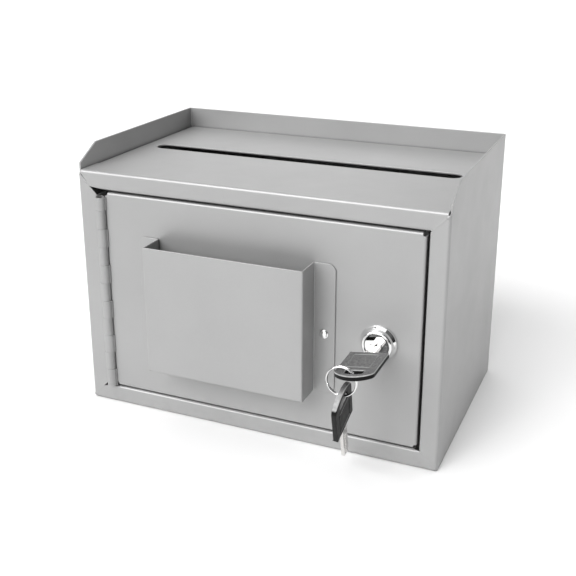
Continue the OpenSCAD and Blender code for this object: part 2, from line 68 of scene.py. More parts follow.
wrap_low, wrap_high = box_mm("side_wrap")
door_low, door_high = box_mm("door_panel")
pin_low, pin_high = box_mm("hinge_pin")
pocket_low, pocket_high = box_mm("leaflet_pocket")
rivet_low, rivet_high = box_mm("pocket_rivets")
lock_low, lock_high = box_mm("lock_body")
nut_low, nut_high = box_mm("lock_nut")
ring_low, ring_high = box_mm("key_ring")

SHEET = 1.2
POCKET_SHEET = 1.0
BEND = 2.0
SMALL_BEND = 1.4
POCKET_BEND = 1.1
DOOR_BEND = 1.5
ARC_STEPS = 7
EDGE = 0.28
SHARP = math.radians(40)
TINY = 0.001

side_x = wrap_high.x
front_y = wrap_low.y
back_y = wrap_high.y
rear_y = back_y - SHEET
box_h = wrap_high.z
top_z = box_mm("top_panel")[1].z
wall_in = side_x - SHEET
RIM_SLOPE = 20.8
RIM_FRONT_Z = 168.5

# The front opening: the hinge fills the gap on the left, the door leaves one on its other sides
GAP_RIGHT, GAP_LOW, GAP_HIGH = 1.6, 1.2, 1.5
open_x0 = box_mm("hinge_frame_leaf")[0].x
open_x1 = door_high.x + GAP_RIGHT
open_z0 = door_low.z - GAP_LOW
open_z1 = door_high.z + GAP_HIGH
lip_y = front_y + 15
LIP_IN = 3

# Weld flanges of the floor and the top: their height, where they start, how far in they are drawn
# from, and the gap between the top and each side
weld_flange = box_mm("bottom_panel")[1].z
weld_start_y = front_y + 20
WELD_IN = 3
TOP_GAP = 0.5

# At each corner of the opening: how far inside it the mitre's line starts, how far outside it the
# notch's tip lies, and how far along the opening's edge the notch runs
LEFT_LOW, LEFT_HIGH, RIGHT_LOW, RIGHT_HIGH = range(4)
MITRE_DROP = [2.8, 4, 0.4, 0.8]
NOTCH_REACH = [4.6, 5.5, 0.6, 1]
NOTCH_RUN = [1.4, 7, 1.8, 4]

SLOT_LEN = 222
SLOT_W = 12.7
SLOT_Y = 4.6
FIX_HOLES = [(x, z) for x in (-90, 90) for z in (42, 142)]
FIX_R = 2.5

lock_x = (lock_low.x + lock_high.x) / 2
lock_z = (lock_low.z + lock_high.z) / 2
lock_centre = (lock_x, lock_z)
KEY_ROLL = math.radians(9)


# --- shape helpers ---


def lerp(a, b, t):
    return a + (b - a) * t


def ease(t):
    """Goes from 0 to 1 with a soft start and end."""
    return t * t * (3 - 2 * t)


def arc(centre, radius, start, end, steps=ARC_STEPS):
    """Points along an arc in a plane; angles in degrees."""
    angles = [math.radians(lerp(start, end, i / steps)) for i in range(steps + 1)]
    return [(centre[0] + radius * math.cos(a), centre[1] + radius * math.sin(a)) for a in angles]


def fillet(path, radii, steps=ARC_STEPS):
    """A path of corner points with each inner corner rounded by its radius."""
    out = [tuple(path[0])]
    for i in range(1, len(path) - 1):
        corner, radius = Vector(path[i]), radii[i - 1]
        back = (Vector(path[i - 1]) - corner).normalized()
        ahead = (Vector(path[i + 1]) - corner).normalized()
        half = back.angle(ahead) / 2
        centre = corner + (back + ahead).normalized() * (radius / math.sin(half))
        start = corner + back * (radius / math.tan(half)) - centre
        end = corner + ahead * (radius / math.tan(half)) - centre
        turn = math.copysign(math.pi - 2 * half, start.x * end.y - start.y * end.x)
        for k in range(steps + 1):
            out.append(tuple(centre + Matrix.Rotation(turn * k / steps, 2) @ start))
    out.append(tuple(path[-1]))
    return out


def rounded(outline, radii, steps=5):
    """A closed outline with its corners rounded."""
    radii = radii if isinstance(radii, list) else [radii] * len(outline)
    out = []
    for i in range(len(outline)):
        three = [outline[i - 1], outline[i], outline[(i + 1) % len(outline)]]
        if radii[i] > 0:
            out.extend(fillet(three, [radii[i]], steps)[1:-1])
        else:
            out.append(tuple(outline[i]))
    return out


def circle(centre, radius, steps):
    return arc(centre, radius, 0, 360 * (steps - 1) / steps, steps - 1)


def turns(steps):
    """Angles evenly spaced round a full turn."""
    return [2 * math.pi * k / steps for k in range(steps)]


def within(point, loop):
    """Whether a point lies inside a closed outline."""
    inside = False
    for a, b in zip(loop, loop[1:] + loop[:1]):
        if (a[1] > point[1]) != (b[1] > point[1]):
            if point[0] < lerp(a[0], b[0], (point[1] - a[1]) / (b[1] - a[1])):
                inside = not inside
    return inside


def upright(x, y, z):
    """Places a ribbon that is drawn as a plan and whose width runs up."""
    return (x, y, z)


def across(y, z, x):
    """Places a ribbon that is drawn as a side view and whose width runs across."""
    return (x, y, z)


def lengthwise(x, z, y):
    """Places a ribbon that is drawn as a front view and whose width runs to the back."""
    return (x, y, z)


def at_depth(y):
    """Places a flat outline upright, at a depth."""
    return lambda x, z: (x, y, z)


def at_height(z):
    """Places a flat outline level, at a height."""
    return lambda x, y: (x, y, z)


class Shape:
    """Collects points in millimetres and faces, then becomes one mesh."""

    def __init__(self):
        self.points = []
        self.faces = []

    def add(self, points, faces):
        first = len(self.points)
        self.points.extend(Vector(p) for p in points)
        self.faces.extend([first + i for i in face] for face in faces)

    def ribbon(self, columns, place, flip=False):
        """A strip of faces. A column is (a, b, ends before it, ends after it), where the ends are
        the places along the strip's width that its two neighbouring faces use."""
        for one, two in zip(columns, columns[1:]):
            near = [place(one[0], one[1], c) for c in one[3]]
            far = [place(two[0], two[1], c) for c in two[2]]
            face = list(range(len(near))) + [len(near) + i for i in reversed(range(len(far)))]
            self.add(near + far, [face[::-1] if flip else face])

    def flat(self, outline, holes, place, flip=False):
        """A flat face with holes."""
        points, edges = [], []
        for loop in [outline] + holes:
            first, n = len(points), len(loop)
            points.extend(Vector(p) for p in loop)
            edges.extend((first + i, first + (i + 1) % n) for i in range(n))
        corners, _, triangles, *_ = delaunay_2d_cdt(points, edges, [], 1, 1e-5)
        faces = []
        for face in triangles:
            middle = sum((corners[i] for i in face), Vector((0, 0))) / 3
            if not any(within(middle, hole) for hole in holes):
                faces.append(face[::-1] if flip else face)
        self.add([place(p.x, p.y) for p in corners], faces)

    def grid(self, rows, closed_rows=False):
        """Quads between rows of points; each row is a closed loop."""
        n = len(rows[0])
        points = [p for row in rows for p in row]
        last = len(rows) if closed_rows else len(rows) - 1
        faces = []
        for i in range(last):
            j = (i + 1) % len(rows)
            for k in range(n):
                m = (k + 1) % n
                faces.append([i * n + k, i * n + m, j * n + m, j * n + k])
        self.add(points, faces)

    def cap(self, loop, flip=False):
        face = list(range(len(loop)))
        self.add(loop, [face[::-1] if flip else face])

    def mesh(self, name, matrix, outward):
        """The mesh in metres, with its points merged where they meet."""
        made = bmesh.new()
        corners = [made.verts.new((matrix @ p if matrix else p) * MM) for p in self.points]
        for face in self.faces:
            made.faces.new([corners[i] for i in face])
        bmesh.ops.remove_doubles(made, verts=made.verts, dist=0.002 * MM)
        if outward:
            bmesh.ops.recalc_face_normals(made, faces=made.faces)
        mesh = bpy.data.meshes.new(name)
        made.to_mesh(mesh)
        made.free()
        return mesh


def smooth(piece, angle=SHARP):
    """Smooth shading, with edges sharper than the angle kept sharp."""
    mesh = piece.data
    mesh.shade_smooth()
    made = bmesh.new()
    made.from_mesh(mesh)
    for edge in made.edges:
        edge.smooth = len(edge.link_faces) != 2 or edge.calc_face_angle(0) < angle
    made.to_mesh(mesh)
    made.free()


def add(name, shape, slot, body, replaces=(), place=None, outward=True):
    """Makes a shape into a piece on its body, with the finish that its slot names. A skin that gets
    its thickness later keeps its faces as drawn; on a closed shape they are turned outward."""
    mesh = shape.mesh(name, place, outward)
    made = bpy.data.objects.new(name, mesh)
    bpy.context.scene.collection.objects.link(made)
    mesh.materials.append(materials[slot])
    smooth(made)
    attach(made, body)
    if replaces:
        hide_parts(*replaces)
    return made


def soften(made, width=EDGE, segments=2, angle=SHARP):
    """Rounds a piece's cut edges."""
    bevel = made.modifiers.new("edges", "BEVEL")
    bevel.width = width * MM
    bevel.segments = segments
    bevel.limit_method = "ANGLE"
    bevel.angle_limit = angle
    bevel.use_clamp_overlap = False
    normals = made.modifiers.new("flat_faces", "WEIGHTED_NORMAL")
    normals.keep_sharp = True


def sheet(name, shape, slot, body, replaces, thickness, edge=EDGE, place=None, segments=2):
    """A piece of sheet from its outer skin, thickened inwards, with its cut edges rounded."""
    made = add(name, shape, slot, body, replaces, place, outward=False)
    solid = made.modifiers.new("sheet", "SOLIDIFY")
    solid.thickness = thickness * MM
    solid.offset = -1
    solid.use_even_offset = True
    soften(made, edge, segments)


def level(x, y, ends):
    """A ribbon column whose two sides are alike."""
    return (x, y, ends, ends)


# --- materials ---


class Nodes:
    """A short way to wire a node tree. An input is a number, a colour or another node's output."""

    def __init__(self, tree):
        self.tree = tree

    def feed(self, socket, value):
        if isinstance(value, bpy.types.NodeSocket):
            self.tree.links.new(value, socket)
        else:
            socket.default_value = (*value, 1) if socket.type == "RGBA" else value

    def add(self, kind, inputs, **settings):
        """A new node, with its settings and its inputs, by name or number."""
        node = self.tree.nodes.new("ShaderNode" + kind)
        for name, value in settings.items():
            setattr(node, name, value)
        for name, value in inputs.items():
            self.feed(node.inputs[name], value)
        return node

    def spread(self, value, low, high, new_low, new_high):
        """A value moved from one range to another, and held within it."""
        inputs = {"From Min": low, "From Max": high, "To Min": new_low, "To Max": new_high}
        return self.add("MapRange", {**inputs, "Value": value}).outputs["Result"]

    def ramp(self, value, *stops):
        """A colour for each value between the stops, which are (place, colour) pairs."""
        node = self.add("ValToRGB", {"Fac": value})
        elements = node.color_ramp.elements
        for i, (place, colour) in enumerate(stops):
            stop = elements[i] if i < 2 else elements.new(place)
            stop.position = place
            stop.color = (*colour, 1)
        return node.outputs["Color"]

    def mix(self, share, a, b, blend="MIX"):
        """Two colours mixed; the share is that of the second."""
        inputs = {0: share, 6: a, 7: b}
        return self.add("Mix", inputs, data_type="RGBA", blend_type=blend).outputs[2]

    def maths(self, kind, a, b):
        return self.add("Math", {0: a, 1: b}, operation=kind).outputs[0]


class Finish(Nodes):
    """A material's nodes; its patterns stay fixed to the piece."""

    def __init__(self, name):
        self.material = bpy.data.materials.new(name)
        self.material.use_nodes = True
        super().__init__(self.material.node_tree)
        self.shader = self.tree.nodes["Principled BSDF"]
        self.where = self.add("TexCoord", {}).outputs["Object"]

    def stretched(self, scale):
        return self.add("Mapping", {"Scale": scale, "Vector": self.where}).outputs["Vector"]

    def noise(self, scale, detail=3, rough=0.55, where=None):
        inputs = {"Scale": scale, "Detail": detail, "Roughness": rough}
        return self.add("TexNoise", {**inputs, "Vector": where or self.where}).outputs["Fac"]

    def mottle(self, scale, detail, dark, light, low=0.3, high=0.7):
        """Noise between two tones."""
        return self.ramp(self.noise(scale, detail), (low, dark), (high, light))

    def cells(self, scale):
        return self.add("TexVoronoi", {"Scale": scale, "Vector": self.where}).outputs["Color"]

    def height(self):
        return self.add("SeparateXYZ", {0: self.where}).outputs["Z"]

    def openness(self, reach):
        """1 where the surface lies open, towards 0 deep in a gap narrower than the reach in mm."""
        return self.add("AmbientOcclusion", {"Distance": reach * MM}, samples=4).outputs["AO"]

    def upward(self):
        """How far the surface faces up: the Z of its normal in the world."""
        normal = self.add("NewGeometry", {}).outputs["Normal"]
        return self.add("SeparateXYZ", {0: normal}).outputs["Z"]

    def bump(self, height, depth, strength):
        """Depth in millimetres."""
        inputs = {"Strength": strength, "Distance": depth * MM, "Height": height}
        self.feed(self.shader.inputs["Normal"], self.add("Bump", inputs).outputs["Normal"])

    def done(self, colour, rough, **fixed):
        """Sets the shader: colour and roughness are outputs, the rest fixed numbers."""
        self.feed(self.shader.inputs["Base Color"], colour)
        self.feed(self.shader.inputs["Roughness"], rough)
        for name, value in fixed.items():
            self.feed(self.shader.inputs[name.replace("_", " ")], value)
        return self.material


PAINT = 0.352
GAP_REACH = 3.2


def grey(value, warm=0.0):
    return (value * (1 + warm), value, value * (1 - warm))


def powder_coat(name, value):
    """Satin silver-grey powder coat, with fine orange peel, faint mottling, darker patches low down,
    and painted shade in narrow gaps, darkest on faces that do not lie level."""
    n = Finish(name)
    cloud = n.mottle(14, 3, grey(value * 0.965), grey(value * 1.03))
    flake = n.mottle(5200, 2, grey(0.93), grey(1.0), 0.35, 0.65)
    speckled = n.mix(1.0, cloud, flake, "MULTIPLY")
    # Darker patches in noise, fading out within 12 mm of the bottom.
    low_down = n.spread(n.height(), 0.0, 0.012, 1.0, 0.0)
    patchy = n.spread(n.noise(130, 4), 0.5, 0.75, 0.0, 0.35)
    darker_low = n.mix(n.maths("MULTIPLY", low_down, patchy), speckled, grey(value * 0.55, 0.02))
    # Painted shade: deep in narrow gaps the paint turns almost black on faces that do not lie level, and
    # less dark on level ones.
    clear = n.spread(n.openness(GAP_REACH), 0.12, 0.42, 0.0, 1.0)
    level_face = n.spread(n.maths("ABSOLUTE", n.upward(), 0.0), 0.4, 0.7, 0.0, 1.0)
    deep = n.mix(level_face, grey(value * 0.05), grey(value * 0.6))
    coloured = n.mix(clear, deep, darker_low)
    rough = n.spread(n.noise(45, 4), 0.3, 0.7, 0.40, 0.47)
    peel = n.maths("ADD", n.noise(950, 2), n.maths("MULTIPLY", n.noise(4200, 2), 0.35))
    n.bump(peel, 0.022, 0.55)
    return n.done(coloured, rough, Metallic=0.35, Coat_Weight=0.12, Coat_Roughness=0.28)


def painted_corner_shade(n, tone, reach, full, none):
    """Painted shade in a metal's corners, where its openness falls from one value to the other."""
    return n.mix(n.spread(n.openness(reach), full, none, 0.0, 1.0), grey(0.03), tone)


def plated(name, value, warm, rough_low, rough_high, spangle=0.0, shaded_corners=False):
    """Plated or bare metal: fine scratches, small changes of tone."""
    n = Finish(name)
    tone = n.mottle(220, 4, grey(value * 0.93, warm), grey(value, warm))
    if spangle:
        tone = n.mix(spangle, tone, n.cells(900), "MULTIPLY")
    # Painted shade darkens the metal in its corners.
    if shaded_corners:
        tone = painted_corner_shade(n, tone, 1.5, 0.5, 0.75)
    scratches = n.noise(1500, 3, 0.6, n.stretched((1, 1, 12)))
    rough = n.spread(scratches, 0.3, 0.7, rough_low, rough_high)
    n.bump(scratches, 0.004, 0.5)
    return n.done(tone, rough, Metallic=1.0)


def chrome():
    """Bright chrome with faint polishing marks and fingerprints."""
    n = Finish("lock_chrome")
    # Painted shade darkens the chrome in its corners and gaps.
    tone = painted_corner_shade(n, n.mottle(180, 3, grey(0.80), grey(0.88)), 1.2, 0.35, 0.6)
    rough = n.spread(n.noise(420, 4), 0.35, 0.75, 0.03, 0.09)
    n.bump(n.noise(2400, 2), 0.002, 0.4)
    return n.done(tone, rough, Metallic=1.0)


def moulded_plastic():
    """Black moulded plastic with fine spark-eroded grain; faces turned up on top are paler, partly dust
    and partly painted light, and its upper edges are rubbed and carry a painted highlight.
    """
    n = Finish("bow_plastic")
    black = n.mottle(90, 4, grey(0.003), grey(0.007))
    # Paler tones on faces that face up: dust plus painted light on the top, and a painted highlight with
    # wear on the upper edges.
    top_dust_and_light = n.mottle(1100, 4, grey(0.055), grey(0.19))
    edge_wear_and_highlight = n.mottle(500, 3, grey(0.28), grey(0.42))
    dust_and_sheen = n.mix(n.spread(n.upward(), 0.8, 0.96, 0.0, 1.0), edge_wear_and_highlight, top_dust_and_light)
    tone = n.mix(n.spread(n.upward(), 0.18, 0.35, 0.0, 1.0), black, dust_and_sheen)
    rough = n.spread(n.noise(260, 4), 0.3, 0.7, 0.3, 0.42)
    n.bump(n.noise(5200, 3), 0.012, 0.6)
    return n.done(tone, rough, IOR=1.22)


PAINTS = {
    "case_paint": PAINT,
    "door_paint": PAINT,
    "pocket_paint": PAINT,
    "hinge_paint": PAINT * 0.97,
}
# Tone, warmth, lowest and highest roughness, and for some the share of spangle and whether painted shade
# darkens the corners
PLATINGS = {
    "pin_steel": (0.55, 0.0, 0.25, 0.4),
    "rivet_metal": (0.95, 0.0, 0.18, 0.28, 0.0, True),
    "zinc_plate": (0.66, 0.012, 0.26, 0.42, 0.12),
    "wafer_brass": (0.62, 0.30, 0.22, 0.36),
    "spring_steel": (0.6, 0.0, 0.2, 0.32),
    "key_nickel": (0.74, 0.02, 0.18, 0.34),
    "ring_steel": (0.85, 0.0, 0.1, 0.2),
}
materials = {name: powder_coat(name, tone) for name, tone in PAINTS.items()}
materials.update({name: plated(name, *look) for name, look in PLATINGS.items()})
materials["lock_chrome"] = chrome()
materials["bow_plastic"] = moulded_plastic()


# --- the front frame's corners ---


def corner(i):
    return (open_x0 if i < RIGHT_LOW else open_x1, open_z0 if i % 2 == 0 else open_z1)


def out_of(i):
    """Which way leads out of the opening at corner i, across and up."""
    return (-1 if i < RIGHT_LOW else 1, -1 if i % 2 == 0 else 1)


def mitre_z(i, x):
    """Height of mitre i at a place across the front."""
    (cx, cz), (_, oz) = corner(i), out_of(i)
    return cz - oz * MITRE_DROP[i] + oz * abs(x - cx)


def notch_tip(i):
    x = corner(i)[0] + out_of(i)[0] * NOTCH_REACH[i]
    return (x, mitre_z(i, x))


def notch_end_x(i):
    """Where notch i ends on the opening's upper or lower edge."""
    return corner(i)[0] - out_of(i)[0] * NOTCH_RUN[i]


def panel_end(i, z):
    """Where the top or bottom flange ends at a height: along the notch, then along the mitre."""
    cz, ox, (tip_x, tip_z) = corner(i)[1], out_of(i)[0], notch_tip(i)
    if abs(z - cz) <= abs(tip_z - cz):
        return lerp(notch_end_x(i), tip_x, abs(z - cz) / abs(tip_z - cz))
    reach = tip_x + ox * abs(z - tip_z)
    return max(-wall_in, min(wall_in, reach))


def flange_ends(left, right, z, limit):
    """Both ends of the top or bottom flange at a height."""
    return [max(panel_end(left, z), -limit), min(panel_end(right, z), limit)]


# --- case ---


def wall_top(y):
    """Height of the raised side's edge at a depth."""
    return min(box_h, lerp(RIM_FRONT_Z, box_h, (y - front_y) / RIM_SLOPE))


def side_columns(side, edge, low, high):
    """Ribbon columns of one side, from its front lip to the start of the bend into the back."""
    out_x = side * side_x
    path = [(edge, lip_y), (edge, front_y), (out_x, front_y), (out_x, back_y - BEND)]
    columns = []
    for x, y in fillet(path, [SMALL_BEND, BEND]):
        if y > front_y + BEND - TINY and abs(x) > side_x - TINY:
            continue
        columns.append(level(x, y, [max(mitre_z(low, x), 0), min(mitre_z(high, x), top_z)]))
    first, seam = front_y + BEND, mitre_z(high, out_x)
    columns.append((out_x, first, [0, seam], [0, seam, wall_top(first)]))
    columns.append(level(out_x, front_y + RIM_SLOPE, [0, box_h]))
    columns.append(level(out_x, back_y - BEND, [0, box_h]))
    return columns


def side_wrap():
    """Left side, back and right side in one sheet, with the left and right of the front frame."""
    shape = Shape()
    sides = ((-1, open_x0, LEFT_LOW, LEFT_HIGH), (1, open_x1, RIGHT_LOW, RIGHT_HIGH))
    for side, edge, low, high in sides:
        shape.ribbon(side_columns(side, edge, low, high), upright, flip=side > 0)
        start = 0 if side > 0 else 180
        bend = arc((side * (side_x - BEND), back_y - BEND), BEND, start, 90)
        shape.ribbon([level(x, y, [0, box_h]) for x, y in bend], upright, flip=side > 0)
    half = side_x - BEND
    back = [(-half, 0), (half, 0), (half, box_h), (-half, box_h)]
    holes = [circle(hole, FIX_R, 24) for hole in FIX_HOLES]
    shape.flat(back, holes, at_depth(back_y), flip=True)
    sheet("case_wrap", shape, "case_paint", "case", ["side_wrap"], SHEET)


def weld_strips(shape, edge_x, z, up):
    """The two side weld flanges of a flat panel at height z, with their bends."""
    for side in (-1, 1):
        path = [(side * (edge_x - WELD_IN), z), (side * edge_x, z), (side * edge_x, z + up * weld_flange)]
        columns = [level(a, b, [weld_start_y, rear_y - BEND]) for a, b in fillet(path, [BEND])]
        shape.ribbon(columns, lengthwise, flip=side * up < 0)


def bottom_panel():
    """Floor, with the bottom of the front frame, weld flanges and their bends."""

    def ends(z):
        return flange_ends(LEFT_LOW, RIGHT_LOW, z, wall_in)

    lip = [open_x0 + LIP_IN, open_x1 - LIP_IN]
    lip_bend = arc((front_y + SMALL_BEND, open_z0 - SMALL_BEND), SMALL_BEND, 90, 180)
    first_y, first_z = lip_bend[0]
    columns = [level(lip_y, open_z0, lip), (first_y, first_z, lip, ends(first_z))]
    columns.extend(level(y, z, ends(z)) for y, z in lip_bend[1:])
    for z in sorted({notch_tip(LEFT_LOW)[1], notch_tip(RIGHT_LOW)[1]}, reverse=True):
        if z < open_z0 - SMALL_BEND:
            columns.append(level(front_y, z, ends(z)))
    low_bend = arc((front_y + BEND, BEND), BEND, 180, 270)
    columns.extend(level(y, z, ends(z)) for y, z in low_bend)
    narrow = [WELD_IN - wall_in, wall_in - WELD_IN]
    columns.append((weld_start_y, 0, [-wall_in, wall_in], narrow))
    rear_bend = arc((rear_y - BEND, BEND), BEND, 270, 360)
    columns.extend(level(y, z, narrow) for y, z in rear_bend)
    columns.append(level(rear_y, weld_flange, narrow))
    shape = Shape()
    shape.ribbon(columns, across, flip=True)
    weld_strips(shape, wall_in, 0, 1)
    sheet("case_floor", shape, "case_paint", "case", ["bottom_panel"], SHEET)


def top_front(shape, gap_in):
    """The top of the front frame, from its lip to where the weld flanges start."""

    def ends(z):
        return flange_ends(LEFT_HIGH, RIGHT_HIGH, z, gap_in)

    lip_bend = arc((front_y + SMALL_BEND, open_z1 + SMALL_BEND), SMALL_BEND, 270, 180)
    columns = [level(lip_y, open_z1, [notch_end_x(LEFT_HIGH), notch_end_x(RIGHT_HIGH)])]
    columns.extend(level(y, z, ends(z)) for y, z in lip_bend)
    for z in sorted({notch_tip(LEFT_HIGH)[1], notch_tip(RIGHT_HIGH)[1]}):
        if z > open_z1 + SMALL_BEND:
            columns.append(level(front_y, z, ends(z)))
    top_bend = arc((front_y + BEND, top_z - BEND), BEND, 180, 90)
    columns.extend(level(y, z, ends(z)) for y, z in top_bend)
    columns.append(level(weld_start_y, top_z, [-gap_in, gap_in]))
    shape.ribbon(columns, across)


def top_plate(shape, gap_in):
    """The level part of the top, with the slot and the bend down at the back."""
    inner = gap_in - WELD_IN
    start, shoulder, end = weld_start_y, weld_start_y + 0.01, rear_y - BEND
    outline = [(-gap_in, start), (gap_in, start), (inner, shoulder), (inner, end)]
    outline += [(-inner, end), (-inner, shoulder)]
    half, r = SLOT_LEN / 2, SLOT_W / 2
    slot = arc((half - r, SLOT_Y), r, -90, 90, 12) + arc((r - half, SLOT_Y), r, 90, 270, 12)
    shape.flat(outline, [slot], at_height(top_z))
    rear_bend = arc((rear_y - BEND, top_z - BEND), BEND, 90, 0)
    back = [level(y, z, [-inner, inner]) for y, z in rear_bend]
    back.append(level(rear_y, top_z - weld_flange, [-inner, inner]))
    shape.ribbon(back, across)


def top_panel():
    shape = Shape()
    gap_in = wall_in - TOP_GAP
    top_front(shape, gap_in)
    top_plate(shape, gap_in)
    weld_strips(shape, gap_in, top_z, -1)
    sheet("case_top", shape, "case_paint", "case", ["top_panel"], SHEET)


BEAD_STEPS, BEAD_SIDES = 24, 10
SEAM_W, SEAM_H, SEAM_SHORT = 1.3, 0.09, 0.9


def weld_bead(name, i, start, end, width, height, taper=True):
    """A ground weld bead along mitre i, between two reaches from the opening's corner."""
    rows = []
    cx, (ox, oz) = corner(i)[0], out_of(i)
    along = Vector((ox, 0, oz)).normalized()
    side = Vector((-along.z, 0, along.x))
    for k in range(BEAD_STEPS + 1):
        t = k / BEAD_STEPS
        x = cx + ox * lerp(start, end, t)
        past_bend = max(0.0, abs(x) - (side_x - BEND))
        sag = (BEND - math.sqrt(BEND**2 - past_bend**2)) / 2
        swell = 1 + 0.22 * math.sin(9 * t + i)
        if taper:
            swell *= math.sqrt(max(0.0, 1 - (2 * t - 1) ** 2))
        middle = Vector((x, front_y + sag, mitre_z(i, x)))
        ring = []
        for angle in turns(BEAD_SIDES):
            out = Vector((0, -math.sin(angle) * (height * swell + sag), 0))
            ring.append(middle + out + side * (math.cos(angle) * width * swell / 2))
        rows.append(ring)
    shape = Shape()
    shape.grid(rows)
    shape.cap(rows[0])
    shape.cap(rows[-1], flip=True)
    add(name, shape, "case_paint", "case")


def weld_beads():
    """Ground-down seams along the four mitres, and the high spots left on two of them."""
    for i, name in enumerate(("left_low", "left_high", "right_low", "right_high")):
        cx = corner(i)[0]
        reach = min(side_x - SEAM_SHORT - abs(cx), mitre_z(i, cx) - SEAM_SHORT)
        weld_bead("seam_" + name, i, NOTCH_REACH[i] - 0.1, reach, SEAM_W, SEAM_H, taper=False)
    weld_bead("weld_left_high", LEFT_HIGH, 7.2, 10.0, 1.7, 0.35)
    weld_bead("weld_right_high", RIGHT_HIGH, 8.2, 11.4, 1.4, 0.3)


# --- hinge ---


KNUCKLE, KNUCKLE_GAP = 12.7, 0.05
BARREL_R, STRIP_X = 2.4, 2.78
PIN_SHORT = 0.3
LEAF_SHORT = 0.2
ROLL_TURN, ROLL_SETTLES, ROLL_STEPS = 310, 80, 30
LEAF_SHEET = 0.95


def knuckles(first, z0, z1, ends):
    """Lower and upper end of every second knuckle, from the first."""
    spans = []
    for k in range(first, math.ceil((z1 - z0) / KNUCKLE), 2):
        low = round(z0 + k * KNUCKLE + KNUCKLE_GAP, 4)
        high = round(min(z0 + (k + 1) * KNUCKLE, z1) - KNUCKLE_GAP, 4)
        spans.append([max(low, ends[0]), min(high, ends[1])])
    return spans


def roll(pin_x, pin_y, sign):
    """Plan of a knuckle's roll round the pin, closing in from the strip to the barrel."""
    points = []
    for i in range(ROLL_STEPS + 1):
        turn = ROLL_TURN * i / ROLL_STEPS
        radius = lerp(STRIP_X, BARREL_R, ease(min(1.0, turn / ROLL_SETTLES)))
        angle = math.radians(180 + turn if sign < 0 else -turn)
        points.append((pin_x + radius * math.cos(angle), pin_y + radius * math.sin(angle)))
    return points


def bridge(leaf_x, span):
    """Columns of the strip that joins a door knuckle to the door's face, sunk between its ends."""
    columns = []
    for i in range(6):
        sunk = 0.1 if 0 < i < 5 else 0
        columns.append(level(leaf_x + 1.5 - 0.7 * i, front_y + 0.04 + sunk, span))
    return columns


def hinge_leaf(name, node, body, sign, first):
    """One leaf of the continuous hinge: a strip against the folded edge that holds it, rolled round
    the pin at every second place."""
    pin_x = (pin_low.x + pin_high.x) / 2
    pin_y = (pin_low.y + pin_high.y) / 2
    z0, z1 = pin_low.z - PIN_SHORT, pin_high.z + PIN_SHORT
    ends = [round(z0 + LEAF_SHORT, 4), round(z1 - LEAF_SHORT, 4)]
    own = knuckles(first, z0, z1, ends)
    whole = sorted(set(ends + [z for span in own for z in span]))
    back_edge, start_y = box_mm(node)[1].y, pin_y + BARREL_R + 0.5
    leaf_x = pin_x + sign * STRIP_X
    shape = Shape()
    strip = [level(leaf_x, back_edge, ends), level(leaf_x, start_y, whole)]
    shape.ribbon(strip, upright, flip=sign > 0)
    for span in own:
        plan = [(leaf_x, start_y)] + roll(pin_x, pin_y, sign)
        shape.ribbon([level(x, y, span) for x, y in plan], upright, flip=sign > 0)
        if sign > 0:
            shape.ribbon(bridge(leaf_x, span), upright, flip=True)
    sheet(name, shape, "hinge_paint", body, [node], LEAF_SHEET, 0.1)


# --- door ---


RIVET_HEAD_R, RIVET_SHANK_R, RIVET_TAIL_R, RIVET_HOLE_R = 3.2, 1.6, 2.4, 1.7
LOCK_HOLE_R, LOCK_HOLE_HALF = 9.6, 8.1
RELIEF = 2.2
POCKET_FLANGE, POCKET_CORNER = 13.8, 5


def double_d(radius, half, steps=12):
    """Round outline with two flats, top and bottom."""
    reach = math.degrees(math.asin(half / radius))
    right = arc(lock_centre, radius, -reach, reach, steps)
    left = arc(lock_centre, radius, 180 - reach, 180 + reach, steps)
    return right + left


def rivet_centres():
    z = (rivet_low.z + rivet_high.z) / 2
    return [(rivet_low.x + RIVET_HEAD_R, z), (rivet_high.x - RIVET_HEAD_R, z)]


def fold(sign, edge):
    """Side view of a folded edge of the door: (place, depth) pairs, from its face to its end."""
    r = DOOR_BEND
    bend = arc((edge - sign * r, front_y + r), r, 270, 180 if sign < 0 else 360)
    return bend + [(edge, door_high.y)]


def door_panel():
    """Face with its corners nipped off, and four folds that start at bend reliefs."""
    shape = Shape()
    x0, x1, z0, z1 = door_low.x, door_high.x, door_low.z, door_high.z
    r = DOOR_BEND
    face = [
        (x0 + RELIEF, z0 + r), (x1 - RELIEF, z0 + r), (x1 - r, z0 + RELIEF), (x1 - r, z1 - RELIEF),
        (x1 - RELIEF, z1 - r), (x0 + RELIEF, z1 - r), (x0 + r, z1 - RELIEF), (x0 + r, z0 + RELIEF),
    ]
    holes = [double_d(LOCK_HOLE_R, LOCK_HOLE_HALF)]
    holes += [circle(centre, RIVET_HOLE_R, 20) for centre in rivet_centres()]
    shape.flat(face, holes, at_depth(front_y))
    heights, widths = [z0 + RELIEF, z1 - RELIEF], [x0 + RELIEF, x1 - RELIEF]
    for sign, edge in ((-1, x0), (1, x1)):
        shape.ribbon([level(x, y, heights) for x, y in fold(sign, edge)], upright, flip=sign > 0)
    for sign, edge in ((-1, z0), (1, z1)):
        shape.ribbon([level(y, z, widths) for z, y in fold(sign, edge)], across, flip=sign < 0)
    sheet("door_skin", shape, "door_paint", "door", ["door_panel"], SHEET)


def pocket_ends(x):
    """Lower and upper end of the pocket's flanges, with their outer corners rounded."""
    r = POCKET_CORNER
    out = max(pocket_low.x + r - x, x - (pocket_high.x - r), 0)
    cut = r - math.sqrt(max(0.0, r**2 - min(out, r) ** 2))
    return [pocket_low.z + cut, pocket_high.z - cut]


